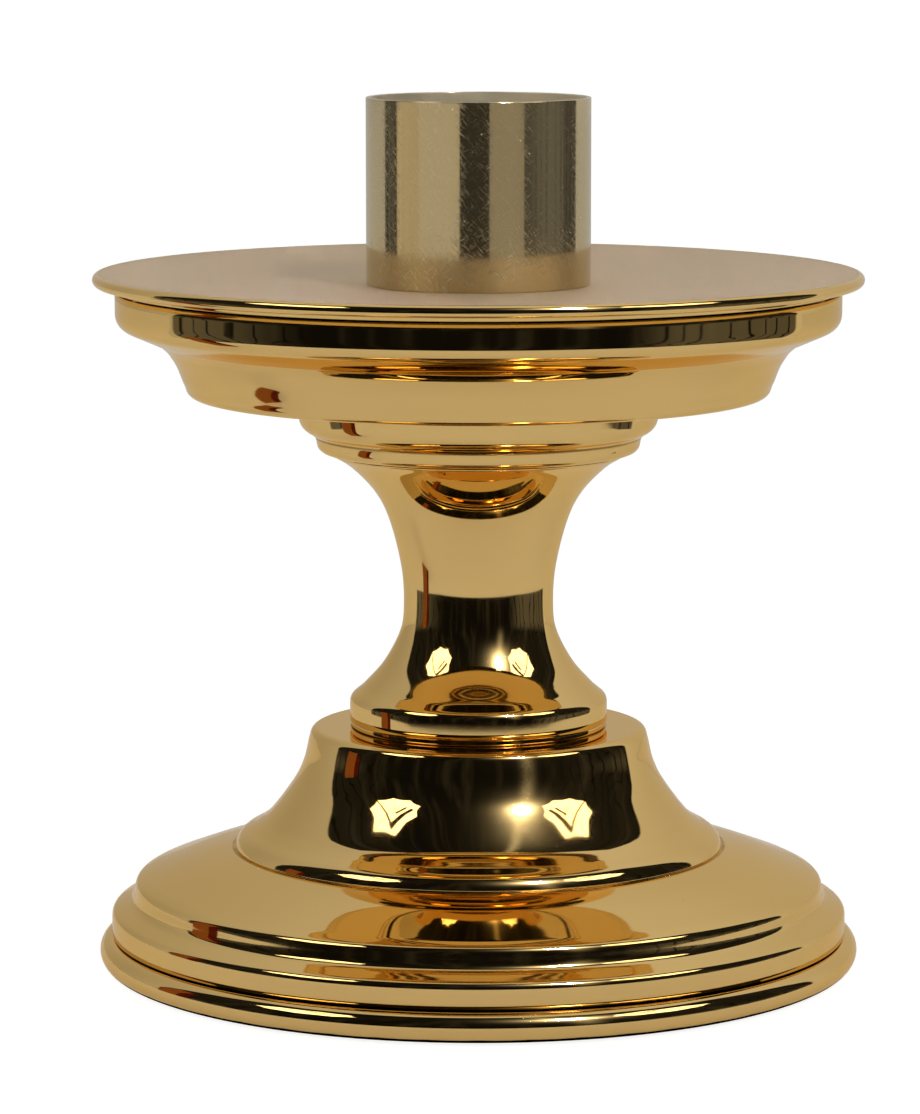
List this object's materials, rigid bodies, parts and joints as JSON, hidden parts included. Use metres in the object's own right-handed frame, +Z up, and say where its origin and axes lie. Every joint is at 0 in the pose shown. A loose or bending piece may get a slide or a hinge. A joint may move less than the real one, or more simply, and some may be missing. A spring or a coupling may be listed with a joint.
{
  "type": "altar candlestick",
  "caption": "Low spun-brass altar candlestick with a stepped round base, waisted stem, wide drip plate and a short screw-in candle socket.",
  "frame": {"origin": "centre of the underside, at table level", "axes": "+Z up along the stem and the tie rod; the candlestick is round about Z, so X and Y are free"},
  "size_m": [0.14, 0.14, 0.1588],
  "materials": {
    "polished_brass": "mirror polished and lacquered",
    "satin_brass": "fine satin",
    "raw_brass": "drawn, unlacquered, finely scratched",
    "turned_brass": "turned",
    "steel": "zinc plated",
    "weight": "as cast",
    "felt": "pressed felt",
    "fibre": "vulcanised fibre sheet"
  },
  "bodies": {
    "root": {"felt_pad": "felt", "bottom_cover": "steel", "foot_ring": "polished_brass", "base_weight": "weight", "lower_dome": "polished_brass", "upper_dome": "polished_brass", "base_nut": "steel", "lock_washer": "steel", "clamp_washer": "steel", "tie_rod": "steel", "seat_ring": "polished_brass", "stem_foot_disc": "turned_brass", "stem": "polished_brass", "stem_head_disc": "turned_brass", "stepped_collar": "polished_brass", "pan_body": "polished_brass", "pan_washer": "steel", "pan_nut": "steel", "coupling_nut": "turned_brass", "drip_plate": "satin_brass"},
    "captive_washer": {"fibre_washer": "fibre"},
    "socket": {"candle_socket": "raw_brass", "socket_stud": "turned_brass"}
  },
  "joints": [
    {"name": "socket_rise", "type": "slide", "parent": "root", "child": "captive_washer", "axis": [0, 0, 1], "range_m": [0, 0.00572]},
    {"name": "socket_turn", "type": "hinge", "parent": "captive_washer", "child": "socket", "pos_m": [0, 0, 0.1249], "axis": [0, 0, 1], "range_deg": [0, 1620]}
  ],
  "couplings": [
    {"joint": "socket_rise", "follows": "socket_turn", "m_per_rad": 0.00020212}
  ]
}
